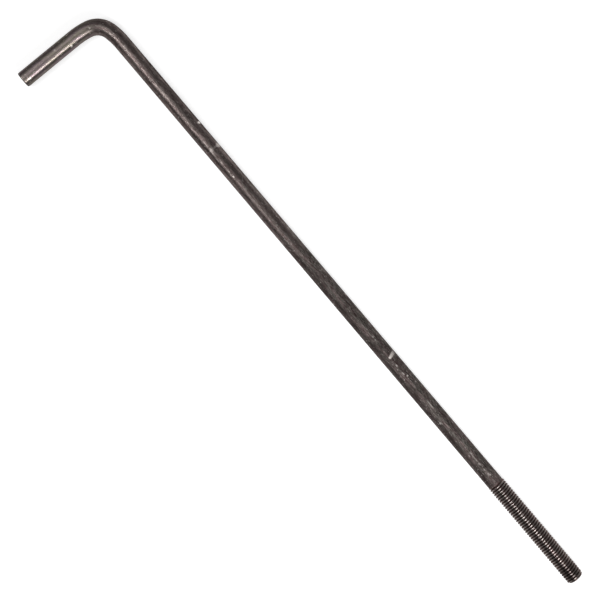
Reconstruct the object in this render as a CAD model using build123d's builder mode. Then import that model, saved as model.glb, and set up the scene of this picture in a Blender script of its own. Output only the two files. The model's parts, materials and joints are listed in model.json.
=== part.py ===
from build123d import *
import os
from math import cos, radians

# L-shaped anchor bolt: a round steel bar with a threaded end and a bent hook.
#
# The bolt lies flat, as it comes to rest. +X runs along the shaft towards the threaded end, the hook
# points to -Y and +Z is up. The origin is under the centre of the box that the bolt fills, on the
# surface that it lies on.

# Driving dimensions, in millimetres and degrees

shaft_length = 508.0        # 20 in, from the corner where the two centre lines cross to the threaded end
hook_length = 69.2          # from the same corner to the cut end of the hook
shank_diameter = 11.49      # bar that the thread is rolled on, so it is thinner than the thread
thread_diameter = 12.58     # over the crests of the 1/2 in thread
thread_length = 86.0        # threaded end, with its run-out
runout_length = 1.6         # taper where the thread rises from the shank
point_chamfer = 1.0         # lead-in at the threaded end

hook_angle = 90.9           # between the shaft and the hook
bend_radius = 14.2          # of the centre line through the middle of the bend
easing_radius = 52.0        # of the centre line where the bend begins and ends
easing_angle = 13.1         # turn that each easing arc takes up

drag_length = 4.6           # flat that the shears drag on the inner side of the cut end
drag_depth = 0.5

# Centre line of the bar, from the end of the thread round the bend to the cut end

turn = 180 - hook_angle

with BuildLine() as bend_line:
    easing_in = JernArc((0, 0), (-1, 0), easing_radius, easing_angle)
    middle = JernArc(easing_in @ 1, easing_in % 1, bend_radius, turn - 2 * easing_angle)
    easing_out = JernArc(middle @ 1, middle % 1, easing_radius, easing_angle)

# The bend, and the corner that the straight centre lines would make, form an isosceles triangle.
bend_chord = (easing_out @ 1 - easing_in @ 0).length
setback = bend_chord / (2 * cos(radians(turn / 2)))
shaft_end = shaft_length - setback
thread_start = shaft_end - thread_length

with BuildLine() as centre_line:
    Line((thread_start, 0), easing_in @ 0)
    add(bend_line)
    hook = PolarLine(easing_out @ 1, hook_length - setback, direction=easing_out % 1)

# The bolt, made as one piece

shank_radius = shank_diameter / 2
thread_radius = thread_diameter / 2

with BuildPart() as anchor_bolt:
    with BuildSketch(Plane(origin=(thread_start, 0, 0), z_dir=(-1, 0, 0))):
        Circle(shank_radius)
    sweep(path=centre_line.wire())

    # Threaded end, as the plain cylinder over its crests
    with BuildSketch(Plane.XY):
        with BuildLine():
            Polyline(
                (thread_start, 0),
                (thread_start, shank_radius),
                (thread_start + runout_length, thread_radius),
                (shaft_end - point_chamfer, thread_radius),
                (shaft_end, thread_radius - point_chamfer),
                (shaft_end, 0),
                close=True,
            )
        make_face()
    revolve(axis=Axis.X)

    # Flat on the inner side of the hook, deepest at the cut
    with BuildSketch(Plane(origin=hook @ 1, x_dir=hook % 1, z_dir=(0, 0, 1))):
        with BuildLine():
            Polyline(
                (-2 * drag_length, shank_radius + drag_depth),
                (drag_length, shank_radius - 2 * drag_depth),
                (drag_length, 2 * shank_radius),
                (-2 * drag_length, 2 * shank_radius),
                close=True,
            )
        make_face()
    extrude(amount=shank_diameter, both=True, mode=Mode.SUBTRACT)

# Set down with its lowest line on the surface, centred over the origin

box = anchor_bolt.part.bounding_box()
footing = Location((-box.center().X, -box.center().Y, -box.min.Z))
anchor_bolt.part = anchor_bolt.part.moved(footing)
anchor_bolt.part.label = "anchor_bolt"

os.makedirs("parts", exist_ok=True)
export_step(anchor_bolt.part, "parts/anchor_bolt.step")
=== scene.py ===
import json
from math import cos, hypot, pi, radians, sin, tan

import bpy
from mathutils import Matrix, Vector


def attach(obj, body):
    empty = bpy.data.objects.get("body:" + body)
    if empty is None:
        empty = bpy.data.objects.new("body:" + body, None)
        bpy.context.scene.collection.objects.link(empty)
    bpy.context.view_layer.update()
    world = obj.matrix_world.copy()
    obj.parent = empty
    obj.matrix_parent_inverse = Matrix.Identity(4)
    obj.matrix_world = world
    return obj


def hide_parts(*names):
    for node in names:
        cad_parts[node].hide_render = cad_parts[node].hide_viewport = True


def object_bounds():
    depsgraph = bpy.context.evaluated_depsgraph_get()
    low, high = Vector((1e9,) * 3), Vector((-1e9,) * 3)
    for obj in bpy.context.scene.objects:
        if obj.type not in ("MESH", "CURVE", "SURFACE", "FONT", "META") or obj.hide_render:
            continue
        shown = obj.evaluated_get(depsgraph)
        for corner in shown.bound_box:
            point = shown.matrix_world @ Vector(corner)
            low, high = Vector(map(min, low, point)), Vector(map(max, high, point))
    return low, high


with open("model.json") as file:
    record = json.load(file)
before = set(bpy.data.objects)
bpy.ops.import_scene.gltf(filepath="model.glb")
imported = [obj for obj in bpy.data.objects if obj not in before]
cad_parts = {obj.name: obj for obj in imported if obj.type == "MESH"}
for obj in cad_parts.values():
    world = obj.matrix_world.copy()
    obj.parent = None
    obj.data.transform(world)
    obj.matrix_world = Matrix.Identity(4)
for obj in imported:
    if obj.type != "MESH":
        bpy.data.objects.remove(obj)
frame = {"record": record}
cad_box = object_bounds()


# --- Straight bar -----------------------------------------------------------------------------------
# The bolt starts as a straight length of hot-rolled round bar. Here the bar lies along X with the
# cut end of its hook at zero, and it is threaded first and bent last, as the real one is.

mounts = {mount["name"]: mount for mount in frame["record"]["mounts"]}
thread_mount = mounts["threaded_end"]
shank_mount = mounts["cast_in_shank"]
thread_radius = thread_mount["dims"]["r_mm"] / 1000
shank_radius = shank_mount["dims"]["r_mm"] / 1000
shank_length = shank_mount["dims"]["length_mm"] / 1000
bend_start = Vector(shank_mount["pos_m"])
threaded_end = Vector((cad_box[1].x, *bend_start.yz))

# The bend is a tight arc with a gentler one before and after it.
hook_angle = 90.9
turn = radians(180 - hook_angle)
easing_radius = 0.052
easing_angle = radians(13.1)
middle_radius = 0.0142
middle_angle = turn - 2 * easing_angle
bend_arcs = [
    (easing_radius, easing_angle),
    (middle_radius, middle_angle),
    (easing_radius, easing_angle),
]
bend_length = sum(radius * angle for radius, angle in bend_arcs)

# Centre line from the start of the bend round to the hook, as points with their headings
knots = [(bend_start, pi)]
for radius, angle in bend_arcs:
    point, heading = knots[-1]
    chord = 2 * radius * sin(angle / 2)
    along_chord = Vector((cos(heading + angle / 2), sin(heading + angle / 2), 0))
    knots.append((point + chord * along_chord, heading + angle))

# The hook's length is counted from the corner where the two straight centre lines would meet.
corner_to_cut_end = 0.0692
setback = (knots[-1][0] - bend_start).length / (2 * cos(turn / 2))
hook_length = corner_to_cut_end - setback

bend_end_x = hook_length
bend_start_x = bend_end_x + bend_length
thread_start_x = bend_start_x + shank_length
bar_end_x = bend_start_x + threaded_end.x - bend_start.x


# --- Thread -----------------------------------------------------------------------------------------
# A right-hand thread of 13 turns to the inch, rolled between dies that press the grooves in and
# raise the crests above the bar. Rolled crests and roots are slightly rounded.

pitch = 0.0254 / 13
thread_depth = 0.6134 * pitch
flank_angle = radians(30)
flank_width = thread_depth * tan(flank_angle)
crest_flat = pitch / 4.4
root_flat = pitch - crest_flat - 2 * flank_width
crest_rounding = 0.00008
root_rounding = 0.00014
rounding_segments = 2
runout_length = 0.0016
point_chamfer = 0.0010
steps_per_winding = 64
spare_windings = 4
merge_distance = 0.000005
cut_merge_distance = 0.000002
cut_tolerance = 1e-7

# The winding begins two pitches and a little more before the start of the thread, where it is cut off
# later. The little more sets where the grooves lie along the bar.
groove_offset = 0.0008
first_winding_x = thread_start_x - (2 * pitch + groove_offset)

# One tooth, from the middle of a groove to the middle of the next
bpy.ops.object.select_all(action="DESELECT")
bpy.ops.mesh.primitive_plane_add(size=pitch, location=(first_winding_x, 0, 0))
bolt = bpy.context.object
bolt.name = "anchor_bolt_steel"
bpy.ops.object.mode_set(mode="EDIT")
bpy.ops.mesh.merge(type="CENTER")
bpy.ops.transform.translate(value=(0, 0, thread_radius - thread_depth))
for stroke in (
    (root_flat / 2, 0, 0),
    (flank_width, 0, thread_depth),
    (crest_flat, 0, 0),
    (flank_width, 0, -thread_depth),
    (root_flat / 2, 0, 0),
):
    bpy.ops.mesh.extrude_region_move(TRANSFORM_OT_translate={"value": stroke})

# Its corners are rounded: first the two at the crest, and then the two at the root, but not its ends,
# which lie in the middle of a groove.
mid_height = thread_radius - thread_depth / 2
end_margin = 0.01 * pitch
for rounding, is_corner in (
    (crest_rounding, lambda co: co.z > mid_height),
    (root_rounding, lambda co: co.z < mid_height and end_margin < co.x < pitch - end_margin),
):
    bpy.ops.mesh.select_all(action="DESELECT")
    bpy.ops.object.mode_set(mode="OBJECT")
    for vertex in bolt.data.vertices:
        vertex.select = is_corner(vertex.co)
    bpy.ops.object.mode_set(mode="EDIT")
    bpy.ops.mesh.bevel(affect="VERTICES", offset=rounding, segments=rounding_segments)
bpy.ops.object.mode_set(mode="OBJECT")

# The tooth winds along the bar, and the windings are merged where they meet.
helix = bolt.modifiers.new("helix", "SCREW")
helix.axis = "X"
helix.angle = 2 * pi
helix.screw_offset = pitch
helix.iterations = int((bar_end_x - thread_start_x) / pitch) + spare_windings
helix.steps = helix.render_steps = steps_per_winding
bpy.ops.object.modifier_apply(modifier=helix.name)
bpy.ops.object.transform_apply(location=True)
bpy.ops.object.mode_set(mode="EDIT")
bpy.ops.mesh.select_all(action="SELECT")
bpy.ops.mesh.remove_doubles(threshold=merge_distance)
bpy.ops.mesh.normals_make_consistent(inside=False)

# It is cut off and closed at the end of the bar, and cut off and left open at the start of the thread.
bpy.ops.mesh.bisect(
    plane_co=(bar_end_x, 0, 0), plane_no=(1, 0, 0), clear_outer=True, threshold=cut_tolerance
)
bpy.ops.mesh.remove_doubles(threshold=cut_merge_distance)
bpy.ops.mesh.edge_face_add()
bpy.ops.mesh.select_all(action="SELECT")
bpy.ops.mesh.bisect(
    plane_co=(thread_start_x, 0, 0), plane_no=(1, 0, 0), clear_inner=True, threshold=cut_tolerance
)
bpy.ops.object.mode_set(mode="OBJECT")

# The grooves fade out into the bar behind the dies, and the point has a lead-in.
for vertex in bolt.data.vertices:
    radius = hypot(vertex.co.y, vertex.co.z)
    rise = min(1.0, (vertex.co.x - thread_start_x) / runout_length)
    shaped = shank_radius + (radius - shank_radius) * rise * rise * (3 - 2 * rise)
    shaped = min(shaped, thread_radius - point_chamfer + bar_end_x - vertex.co.x)
    vertex.co.yz *= shaped / radius


# --- Shank and hook ---------------------------------------------------------------------------------
# The plain bar behind the thread, with knocks from handling, then the bend and the hook, with a flat
# and a rolled rim where the shears cut it. The black scale from the mill is still on the whole bolt.

# Two knocks, each with its place along the bar, its direction round the bar from the top, its half
# length, half width and depth: a nick on the bar's outer side and a gouge across its top
nick = (bend_start_x + 0.0768, radians(66), 0.0009, 0.0016, 0.0004)
gouge = (bend_start_x + 0.2845, radians(24), 0.0015, 0.0026, 0.0002)

rim_rounding = 0.0008
rim_segments = 6
rim_width = 1.5 * rim_rounding
shank_spacing = 0.008
knock_spacing = 0.0005
bend_spacing = 0.0008
hook_spacing = 0.004

# Stretches of the bar from the thread to the cut end, each with its start and the spacing of its rings
stretches = [(thread_start_x, shank_spacing)]
for knock_x, angle, half_length, half_width, depth in (gouge, nick):
    stretches.append((knock_x + 2 * half_length, knock_spacing))
    stretches.append((knock_x - 2 * half_length, shank_spacing))
stretches.append((bend_start_x, bend_spacing))
stretches.append((bend_end_x, hook_spacing))
stretches.append((rim_width, rim_width))
stretches.append((0.0, 0))
stations = []
for (from_x, spacing), (to_x, _) in zip(stretches, stretches[1:]):
    count = round((from_x - to_x) / spacing)
    stations += [(to_x - from_x) / count] * count

bpy.ops.object.mode_set(mode="EDIT")
for step in stations:
    bpy.ops.mesh.extrude_region_move(TRANSFORM_OT_translate={"value": (step, 0, 0)})
bpy.ops.mesh.edge_face_add()

bpy.ops.object.mode_set(mode="OBJECT")
for knock_x, angle, half_length, half_width, depth in (gouge, nick):
    knock_y = shank_radius * sin(angle)
    knock_z = shank_radius * cos(angle)
    for vertex in bolt.data.vertices:
        across = hypot(vertex.co.y - knock_y, vertex.co.z - knock_z) / half_width
        lengthwise = abs(vertex.co.x - knock_x) / half_length
        if vertex.co.x < thread_start_x and max(across, lengthwise) < 1:
            vertex.co.yz *= 1 - depth / shank_radius * (1 - across ** 4) * (1 - lengthwise ** 4)
bpy.ops.object.mode_set(mode="EDIT")

# The shears drag a flat on the inner side of the hook's cut end.
drag_length = 0.0046
drag_depth = 0.0005
bpy.ops.mesh.select_all(action="DESELECT")
bpy.ops.object.mode_set(mode="OBJECT")
for vertex in bolt.data.vertices:
    vertex.select = vertex.co.x < 2 * drag_length
bpy.ops.object.mode_set(mode="EDIT")
bpy.ops.mesh.bisect(
    plane_co=(drag_length, -shank_radius, 0),
    plane_no=(-drag_depth, -drag_length, 0),
    use_fill=True,
    clear_outer=True,
    threshold=cut_tolerance,
)

# They also roll its rim over.
end_tolerance = 0.000001
bpy.ops.mesh.select_all(action="DESELECT")
bpy.ops.object.mode_set(mode="OBJECT")
for vertex in bolt.data.vertices:
    vertex.select = vertex.co.x < end_tolerance
bpy.ops.object.mode_set(mode="EDIT")
bpy.ops.mesh.bevel(offset=rim_rounding, segments=rim_segments)
bpy.ops.mesh.select_all(action="SELECT")
bpy.ops.mesh.normals_make_consistent(inside=False)
bpy.ops.object.mode_set(mode="OBJECT")
sharp_angle = radians(16)
bpy.ops.object.shade_smooth_by_angle(angle=sharp_angle)

# Places along and round the straight bar, kept for the streaks that the rolls leave
along_bar = bolt.data.attributes.new("along_bar", "FLOAT_VECTOR", "POINT")
for vertex in bolt.data.vertices:
    along_bar.data[vertex.index].vector = vertex.co

# The bend: the bar follows its centre line from the cut end to the threaded one. Each arc's handles
# have the reach with which a Bezier curve follows an arc.
bend_end, hook_heading = knots[-1]
cut_end = bend_end + hook_length * Vector((cos(hook_heading), sin(hook_heading), 0))
knots.append((cut_end, hook_heading))
knots.insert(0, (threaded_end, pi))
knots.reverse()
arc_reaches = [4 / 3 * tan(angle / 4) * radius for radius, angle in bend_arcs]
reaches = [hook_length / 3, *arc_reaches, shank_length / 3]
bpy.ops.curve.primitive_bezier_curve_add()
centre_line = bpy.context.object
centre_line.data.twist_mode = "Z_UP"
centre_line.data.resolution_u = 64
centre_line.data.splines[0].bezier_points.add(len(knots) - 2)
for index, (point, heading) in enumerate(knots):
    bezier_point = centre_line.data.splines[0].bezier_points[index]
    bezier_point.handle_left_type = bezier_point.handle_right_type = "FREE"
    bezier_point.co = point
    onward = -Vector((cos(heading), sin(heading), 0))
    bezier_point.handle_left = point - onward * reaches[max(index - 1, 0)]
    bezier_point.handle_right = point + onward * reaches[min(index, len(reaches) - 1)]

bend = bolt.modifiers.new("bend", "CURVE")
bend.object = centre_line
bend.deform_axis = "POS_X"
bpy.context.view_layer.objects.active = bolt
bpy.ops.object.modifier_apply(modifier=bend.name)
bpy.data.objects.remove(centre_line)

# Black mill scale with the bar's rolling marks drawn out along it. It is a hard, dark oxide that shines
# like a metal, so the eye sees short broken glints on a brown-black ground.


def linear_colour(hex_code):
    """Shader colour for an sRGB hex code."""
    channels = [int(hex_code[start:start + 2], 16) / 255 for start in (1, 3, 5)]
    return [c / 12.92 if c <= 0.04045 else ((c + 0.055) / 1.055) ** 2.4 for c in channels] + [1.0]


def add_node(tree, kind, *values, output=None, **settings):
    """Adds a node, sets or links its inputs in their order and gives back its first or named output."""
    node = tree.nodes.new(kind)
    for setting, value in settings.items():
        setattr(node, setting, value)
    for socket, value in zip([socket for socket in node.inputs if socket.enabled], values):
        if isinstance(value, bpy.types.NodeSocket):
            tree.links.new(value, socket)
        else:
            socket.default_value = value
    return node.outputs[output] if output else next(socket for socket in node.outputs if socket.enabled)


scale_dark = linear_colour("#2b2322")
scale_light = linear_colour("#958c89")
scale_mauve = linear_colour("#705957")
scale_green = linear_colour("#595b51")
hook_mauve = linear_colour("#887980")
hook_tan = linear_colour("#858072")
# Painted shade for both sides of the hook
hook_painted_shade = linear_colour("#231f1f")
bright_steel = linear_colour("#e0d8d3")
groove_oil = linear_colour("#665654")
crest_steel = linear_colour("#97918e")
# Black oil, which also gives the painted shade on the thread's inner side
black_oil_and_shade = linear_colour("#3c3433")
grazing_tint = linear_colour("#a8a8a8")

# Size of each pattern along, across and through the bar. Real streaks and grain are 0.1 to 0.2 mm
# across, too fine to show, so they are drawn 0.5 to 0.7 mm across.
streak_size = (0.0032, 0.0006, 0.0006)
mottle_size = (0.0110, 0.0015, 0.0015)
patch_size = (0.0180, 0.0040, 0.0040)
glint_size = (0.0016, 0.0007, 0.0007)
grain_size = (0.0008, 0.0005, 0.0005)
streak_height = 0.000009
grain_height = 0.000006

steel = bpy.data.materials.new("black_mill_scale_steel")
steel.use_nodes = True
tree = steel.node_tree
place = add_node(tree, "ShaderNodeAttribute", output="Vector", attribute_name="along_bar")
along = add_node(tree, "ShaderNodeSeparateXYZ", place, output="X")
sideways = add_node(tree, "ShaderNodeSeparateXYZ", place, output="Y")

noises = []
for size, detail, roughness in (
    (streak_size, 3, 0.65),
    (mottle_size, 2, 0.5),
    (patch_size, 1, 0.5),
    (glint_size, 1, 0.5),
    (grain_size, 2, 0.6),
):
    per_metre = [1 / length for length in size]
    scaled = add_node(tree, "ShaderNodeVectorMath", place, per_metre, operation="MULTIPLY")
    noises.append(add_node(tree, "ShaderNodeTexNoise", scaled, 1, detail, roughness))
streaks, mottle, patches, glints, grain = noises

# Areas of the bolt, each 1 inside and 0 outside. An area has one or two soft edges, each given as the
# place where the area starts and the place where it has fully come in. Sideways is positive on the
# outer side of the bend.
dull_middle_x = bend_start_x + 0.185
oil_start_x = bar_end_x - 0.0145
oil_end_x = bar_end_x - 0.0010
areas = {}
for area, position, *edges in (
    ("hook", along, (bend_end_x + 0.022, bend_end_x + 0.002)),
    # The bands along both sides of the hook and of the shank carry painted shade.
    ("hook_outer_side", sideways, (0.0012, 0.0034), (0.0062, 0.0026)),
    ("hook_inner_side", sideways, (-0.0030, -0.0042), (-0.0060, -0.0045)),
    ("bend_end", along, (bend_start_x + 0.10, bend_start_x + 0.07)),
    ("shank_outer_side", sideways, (0.0020, 0.0052)),
    ("shank_inner_side", sideways, (-0.0023, -0.0034), (-0.0052, -0.0038)),
    ("inner_half", sideways, (0.0008, -0.0012)),
    ("dull_end", along, (dull_middle_x - 0.02, dull_middle_x + 0.02)),
    ("thread", along, (thread_start_x - 0.001, thread_start_x + 0.001)),
    # Painted shade: a strip along the thread's inner side
    ("thread_inner_shade", sideways, (-0.0010, -0.0022), (-0.0044, -0.0030)),
    ("thread_oil", along, (oil_start_x, oil_start_x + 0.0040), (oil_end_x, oil_end_x - 0.0035)),
):
    inside = 1.0
    for start, end in edges:
        edge = add_node(tree, "ShaderNodeMapRange", position, start, end, interpolation_type="SMOOTHSTEP")
        inside = add_node(tree, "ShaderNodeMath", inside, edge, operation="MULTIPLY")
    areas[area] = inside

# The bar's skin, which leaves out the middle of its cut face, and the crests of the thread, both by
# distance from the axis
skin_depth = 0.0008
crest_edge = 0.0002
crest_radius = thread_radius - 0.00005
cross_section = add_node(tree, "ShaderNodeVectorMath", place, (0, 1, 1), operation="MULTIPLY")
radius_here = add_node(tree, "ShaderNodeVectorMath", cross_section, operation="LENGTH")
areas["skin"] = add_node(
    tree, "ShaderNodeMapRange", radius_here, shank_radius - 2 * skin_depth, shank_radius - skin_depth
)
areas["crests"] = add_node(tree, "ShaderNodeMapRange", radius_here, crest_radius - crest_edge, crest_radius)

# Rubbed spots, each with its place along the bar, its direction round the bar from the top in degrees,
# its half length, its half width and how bright it is. A spot fades out from its core to its rim, both
# given as shares of its half length and width.
spot_core = 0.6
spot_rim = 1.15
rubbed_spots = (
    (0.0046, -35, 0.0013, 0.0004, 0.5),
    (0.0301, 7, 0.0008, 0.0006, 0.3),
    (0.0410, -46, 0.0009, 0.0007, 0.7),
    (0.0590, -12, 0.0006, 0.0006, 0.5),
    (bend_start_x + 0.0765, 46, 0.0006, 0.0010, 0.6),
    (bend_start_x + 0.0767, 60, 0.0011, 0.0020, 1.0),
    (bend_start_x + 0.0971, 20, 0.0007, 0.0016, 0.2),
    (bend_start_x + 0.0971, 38, 0.0009, 0.0014, 0.45),
    (bend_start_x + 0.0970, 56, 0.0019, 0.0022, 0.45),
    (bend_start_x + 0.0970, -12, 0.0018, 0.0018, 0.2),
    (bend_start_x + 0.1207, -14, 0.0010, 0.0007, 0.3),
    (bend_start_x + 0.2320, 72, 0.0010, 0.0012, 0.4),
    (bend_start_x + 0.2320, -72, 0.0010, 0.0012, 0.4),
    (bend_start_x + 0.2665, 7, 0.0009, 0.0008, 0.25),
    (bend_start_x + 0.2850, 3, 0.0010, 0.0009, 1.0),
    (bend_start_x + 0.2848, 13, 0.0012, 0.0010, 1.0),
    (bend_start_x + 0.2845, 24, 0.0014, 0.0011, 0.9),
    (bend_start_x + 0.2841, 37, 0.0015, 0.0012, 0.75),
    (bend_start_x + 0.2838, 50, 0.0016, 0.0011, 0.5),
    (bend_start_x + 0.2921, 3, 0.0010, 0.0006, 0.4),
    (bend_start_x + 0.2992, 2, 0.0014, 0.0004, 0.4),
    (bend_start_x + 0.3022, 15, 0.0007, 0.0006, 0.8),
    (bend_start_x + 0.3089, 34, 0.0009, 0.0006, 0.4),
    (bend_start_x + 0.3276, 7, 0.0040, 0.0005, 0.4),
    (bend_start_x + 0.3418, -25, 0.0010, 0.0008, 0.4),
    (bend_start_x + 0.3753, 1, 0.0040, 0.0004, 0.2),
    (bend_start_x + 0.3804, 1, 0.0014, 0.0006, 0.2),
    (bend_start_x + 0.3856, 1, 0.0010, 0.0006, 0.2),
    (bend_start_x + 0.3896, 2, 0.0008, 0.0006, 0.3),
    (bend_start_x + 0.3908, 9, 0.0008, 0.0008, 0.4),
)
rubbed = 0.0
for spot_x, degrees, half_length, half_width, brightness in rubbed_spots:
    centre = (spot_x, shank_radius * sin(radians(degrees)), shank_radius * cos(radians(degrees)))
    per_half_size = (1 / half_length, 1 / half_width, 1 / half_width)
    offset = add_node(tree, "ShaderNodeVectorMath", place, centre, operation="SUBTRACT")
    spread = add_node(tree, "ShaderNodeVectorMath", offset, per_half_size, operation="MULTIPLY")
    distance = add_node(tree, "ShaderNodeVectorMath", spread, operation="LENGTH")
    spot = add_node(tree, "ShaderNodeMapRange", distance, spot_rim, spot_core, 0, brightness)
    rubbed = add_node(tree, "ShaderNodeMath", rubbed, spot, operation="MAXIMUM")

# Shank: dark and light streaks over a mauve and green mottle. The streaks are softer where the bar is
# smooth. It is smooth on the inner half of its dull end, not on the outer half, and half so elsewhere.
smooth = add_node(tree, "ShaderNodeMapRange", areas["dull_end"], 0, 1, 0.5, areas["inner_half"])
streak_start = add_node(tree, "ShaderNodeMapRange", smooth, 0, 1, 0.36, 0.25)
streak_end = add_node(tree, "ShaderNodeMapRange", smooth, 0, 1, 0.66, 0.77)
streak_share = add_node(tree, "ShaderNodeMapRange", streaks, streak_start, streak_end)
streak_colour = add_node(tree, "ShaderNodeMix", streak_share, scale_dark, scale_light, data_type="RGBA")
green_limit = add_node(tree, "ShaderNodeMapRange", areas["dull_end"], 0, 1, 0.5, 1)
green_share = add_node(tree, "ShaderNodeMapRange", mottle, 0.42, 0.58, 0, green_limit)
mottle_colour = add_node(tree, "ShaderNodeMix", green_share, scale_mauve, scale_green, data_type="RGBA")
mottle_share = 0.3
bar_colour = add_node(tree, "ShaderNodeMix", mottle_share, streak_colour, mottle_colour, data_type="RGBA")

# It is darker in patches and where it is dull. Painted shade darkens it where it is smooth, along its inner
# side, and along its outer side near the bend.
dark_patches = add_node(tree, "ShaderNodeMapRange", patches, 0.40, 0.62)
inner_painted_shade_share = add_node(tree, "ShaderNodeMapRange", areas["dull_end"], 0, 1, 0.4, 0.25)
outer_painted_shade_share = add_node(tree, "ShaderNodeMapRange", areas["bend_end"], 0, 1, 0.0, 0.3)
scale_and_painted_shade_share = 0
for dark_area, share in (
    (areas["dull_end"], 0.15),
    (dark_patches, 0.3),
    (smooth, 0.12),
    (areas["shank_inner_side"], inner_painted_shade_share),
    (areas["shank_outer_side"], outer_painted_shade_share),
):
    part = add_node(tree, "ShaderNodeMath", dark_area, share, operation="MULTIPLY")
    scale_and_painted_shade_share = add_node(tree, "ShaderNodeMath", scale_and_painted_shade_share, part, operation="ADD")
shank_colour = add_node(tree, "ShaderNodeMix", scale_and_painted_shade_share, bar_colour, scale_dark, data_type="RGBA")

# Hook: paler, with a sheen of mauve and tan, and painted shade in charcoal along both sides of its skin
sheen_share = 0.5
painted_shade_limit = 0.78
tan_share = add_node(tree, "ShaderNodeMapRange", mottle, 0.40, 0.60)
sheen_colour = add_node(tree, "ShaderNodeMix", tan_share, hook_mauve, hook_tan, data_type="RGBA")
top_colour = add_node(tree, "ShaderNodeMix", sheen_share, bar_colour, sheen_colour, data_type="RGBA")
hook_shaded_sides = add_node(
    tree, "ShaderNodeMath", areas["hook_outer_side"], areas["hook_inner_side"], operation="MAXIMUM"
)
skin_share = add_node(tree, "ShaderNodeMath", areas["skin"], painted_shade_limit, operation="MULTIPLY")
hook_painted_shade_share = add_node(tree, "ShaderNodeMath", hook_shaded_sides, skin_share, operation="MULTIPLY")
hook_colour = add_node(tree, "ShaderNodeMix", hook_painted_shade_share, top_colour, hook_painted_shade, data_type="RGBA")

# Thread: oily grooves and rubbed crests, with a strip of painted shade on its inner side that thickens
# towards a ring of black oil just before the end
dry_mottle_share = 0.25
crest_wear = add_node(tree, "ShaderNodeMapRange", patches, 0.40, 0.60, 0.7, 1)
worn_crest = add_node(tree, "ShaderNodeMath", areas["crests"], crest_wear, operation="MULTIPLY")
rib_colour = add_node(tree, "ShaderNodeMix", worn_crest, groove_oil, crest_steel, data_type="RGBA")
dry_colour = add_node(tree, "ShaderNodeMix", dry_mottle_share, rib_colour, mottle_colour, data_type="RGBA")
inner_shade_limit = add_node(tree, "ShaderNodeMapRange", along, thread_start_x, oil_start_x, 0.15, 0.7)
inner_shade_share = add_node(tree, "ShaderNodeMath", areas["thread_inner_shade"], inner_shade_limit, operation="MULTIPLY")
shaded_thread_colour = add_node(tree, "ShaderNodeMix", inner_shade_share, dry_colour, black_oil_and_shade, data_type="RGBA")
oil_limit = add_node(tree, "ShaderNodeMapRange", sideways, 0.0030, -0.0030, 0.35, 0.7)
oil_share = add_node(tree, "ShaderNodeMath", areas["thread_oil"], oil_limit, operation="MULTIPLY")
thread_colour = add_node(tree, "ShaderNodeMix", oil_share, shaded_thread_colour, black_oil_and_shade, data_type="RGBA")

# The three together, with fine glints and the rubbed spots on top
glint_share = add_node(tree, "ShaderNodeMapRange", glints, 0.66, 0.74, 0, 0.35)
steel_colour = shank_colour
for share, colour in (
    (areas["hook"], hook_colour),
    (areas["thread"], thread_colour),
    (glint_share, bright_steel),
    (rubbed, bright_steel),
):
    steel_colour = add_node(tree, "ShaderNodeMix", share, steel_colour, colour, data_type="RGBA")

# Roughness of the ground and of its streaks: first the shiny bend end, then the duller threaded end,
# then the hook, which is smoother still, as the crests of the thread are
steel_roughness = 0.0
for share, ground_roughness, streak_roughness in (
    (1.0, 0.44, 0.34),
    (areas["dull_end"], 0.72, 0.58),
    (areas["hook"], 0.38, 0.35),
):
    roughness = add_node(
        tree, "ShaderNodeMapRange", streaks, 0.35, 0.65, ground_roughness, streak_roughness
    )
    steel_roughness = add_node(tree, "ShaderNodeMix", share, steel_roughness, roughness)
groove_roughness = 0.45
crest_roughness = 0.30
roughness = add_node(tree, "ShaderNodeMapRange", areas["crests"], 0, 1, groove_roughness, crest_roughness)
steel_roughness = add_node(tree, "ShaderNodeMix", areas["thread"], steel_roughness, roughness)

# The streaks and the grain also stand up a little from the surface, less so on the hook.
shank_relief = 0.55
hook_relief = 0.18
relief_distance = 1
relief_filter = 0.1
relief_share = add_node(tree, "ShaderNodeMapRange", areas["hook"], 0, 1, shank_relief, hook_relief)
streak_rise = add_node(tree, "ShaderNodeMath", streaks, streak_height, operation="MULTIPLY")
grain_rise = add_node(tree, "ShaderNodeMath", grain, grain_height, operation="MULTIPLY")
scale_rise = add_node(tree, "ShaderNodeMath", streak_rise, grain_rise, operation="ADD")
surface = add_node(
    tree, "ShaderNodeBump", relief_share, relief_distance, relief_filter, scale_rise
)

# The tint keeps the oxide dark at grazing angles, where clean steel would turn bright.
shader = tree.nodes["Principled BSDF"]
shader.inputs["Metallic"].default_value = 1
shader.inputs["Specular Tint"].default_value = grazing_tint
tree.links.new(steel_colour, shader.inputs["Base Color"])
tree.links.new(steel_roughness, shader.inputs["Roughness"])
tree.links.new(surface, shader.inputs["Normal"])
bolt.data.materials.clear()
bolt.data.materials.append(steel)

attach(bolt, "root")
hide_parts("anchor_bolt")


# --- Floor and backdrop -----------------------------------------------------------------------------
# Matt white paper under the bolt, and a low wall of the same paper far off all round. It glows where it
# is seen, also in the steel, which makes it white and leaves the bolt's shadow on it.

floor_width = 30.0
wall_height = 4.0
wall_sides = 96
paper_white = linear_colour("#c8c8c8")
paper_glow = 0.62

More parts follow.
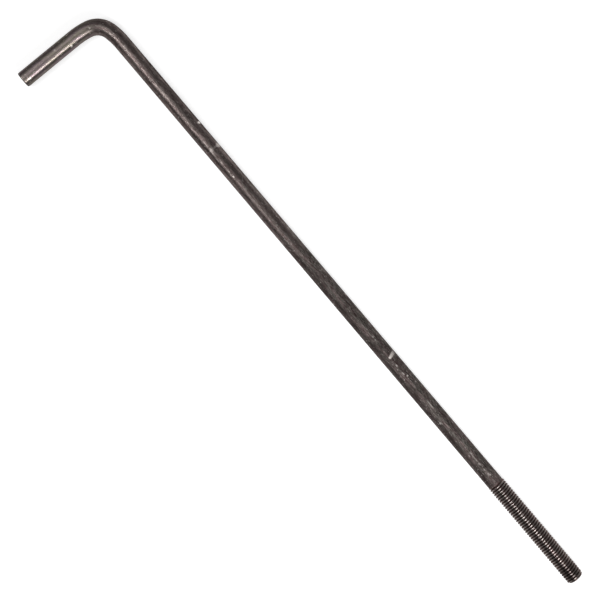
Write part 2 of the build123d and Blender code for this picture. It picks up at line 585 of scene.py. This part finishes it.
bpy.ops.mesh.primitive_plane_add(size=floor_width)
floor = bpy.context.object
floor.name = "floor"
paper = bpy.data.materials.new("matt_white_paper")
paper.use_nodes = True
paper_tree = paper.node_tree
seen = 0.0
for ray in ("Is Camera Ray", "Is Glossy Ray", "Is Transmission Ray"):
    is_such_ray = add_node(paper_tree, "ShaderNodeLightPath", output=ray)
    seen = add_node(paper_tree, "ShaderNodeMath", seen, is_such_ray, operation="MAXIMUM")
seen_glow = add_node(paper_tree, "ShaderNodeMath", seen, paper_glow, operation="MULTIPLY")
paper_shader = paper_tree.nodes["Principled BSDF"]
paper_shader.inputs["Base Color"].default_value = paper_white
paper_shader.inputs["Roughness"].default_value = 1
paper_shader.inputs["Specular IOR Level"].default_value = 0
paper_shader.inputs["Emission Color"].default_value = (1, 1, 1, 1)
paper_tree.links.new(seen_glow, paper_shader.inputs["Emission Strength"])
floor.data.materials.append(paper)

bpy.ops.mesh.primitive_cylinder_add(
    vertices=wall_sides,
    radius=floor_width / 2,
    depth=wall_height,
    end_fill_type="NOTHING",
    location=(0, 0, wall_height / 2),
)
bpy.ops.object.mode_set(mode="EDIT")
bpy.ops.mesh.flip_normals()
bpy.ops.object.mode_set(mode="OBJECT")
bpy.ops.object.transform_apply(location=True)
bpy.ops.object.shade_smooth()
backdrop = bpy.context.object
backdrop.name = "backdrop"
backdrop.data.materials.append(paper)


# --- Light ------------------------------------------------------------------------------------------
# A white room, and soft boxes over the bolt that draw a highlight along each stretch of it. Each box
# has its place, its aim, its size and its power.

room_strength = 0.30

world = bpy.data.worlds.new("white_room")
bpy.context.scene.world = world
world.use_nodes = True
room = world.node_tree.nodes["Background"]
room.inputs["Color"].default_value = (1, 1, 1, 1)
room.inputs["Strength"].default_value = room_strength

for name, location, aim, size, power in (
    ("key_softbox", (-0.47, -0.53, 0.95), (-0.20, 0.03, 0), (0.50, 0.30), 4.0),
    ("side_softbox", (-0.55, -0.04, 0.97), (-0.25, 0, 0), (0.30, 0.75), 0.85),
    ("hook_softbox", (0.80, -0.06, 0.75), (-0.25, 0, 0), (0.40, 0.26), 3.9),
    ("thread_softbox", (0.40, -0.05, 0.58), (0.22, 0.03, 0), (0.23, 0.14), 1.45),
    ("top_softbox", (0.22, 0.02, 1.0), (0.10, 0.03, 0), (0.25, 0.30), 0.4),
):
    bpy.ops.object.light_add(type="AREA", location=location)
    lamp = bpy.context.object
    lamp.name = lamp.data.name = name
    lamp.data.shape = "RECTANGLE"
    lamp.data.size, lamp.data.size_y = size
    lamp.data.energy = power
    lamp.rotation_euler = (Vector(aim) - lamp.location).to_track_quat("-Z", "Y").to_euler()


# --- Camera -----------------------------------------------------------------------------------------
# Straight above the bolt, turned so that the bolt lies across the picture from corner to corner.

camera_place = (-0.0122, 0.01027, 0.8699)
camera_turn = radians(49.74)

bpy.ops.object.camera_add(location=camera_place, rotation=(0, 0, camera_turn))
camera = bpy.context.object
camera.data.lens = 75
camera.data.sensor_width = 36
bpy.context.scene.camera = camera
bpy.context.scene.view_settings.view_transform = "Standard"
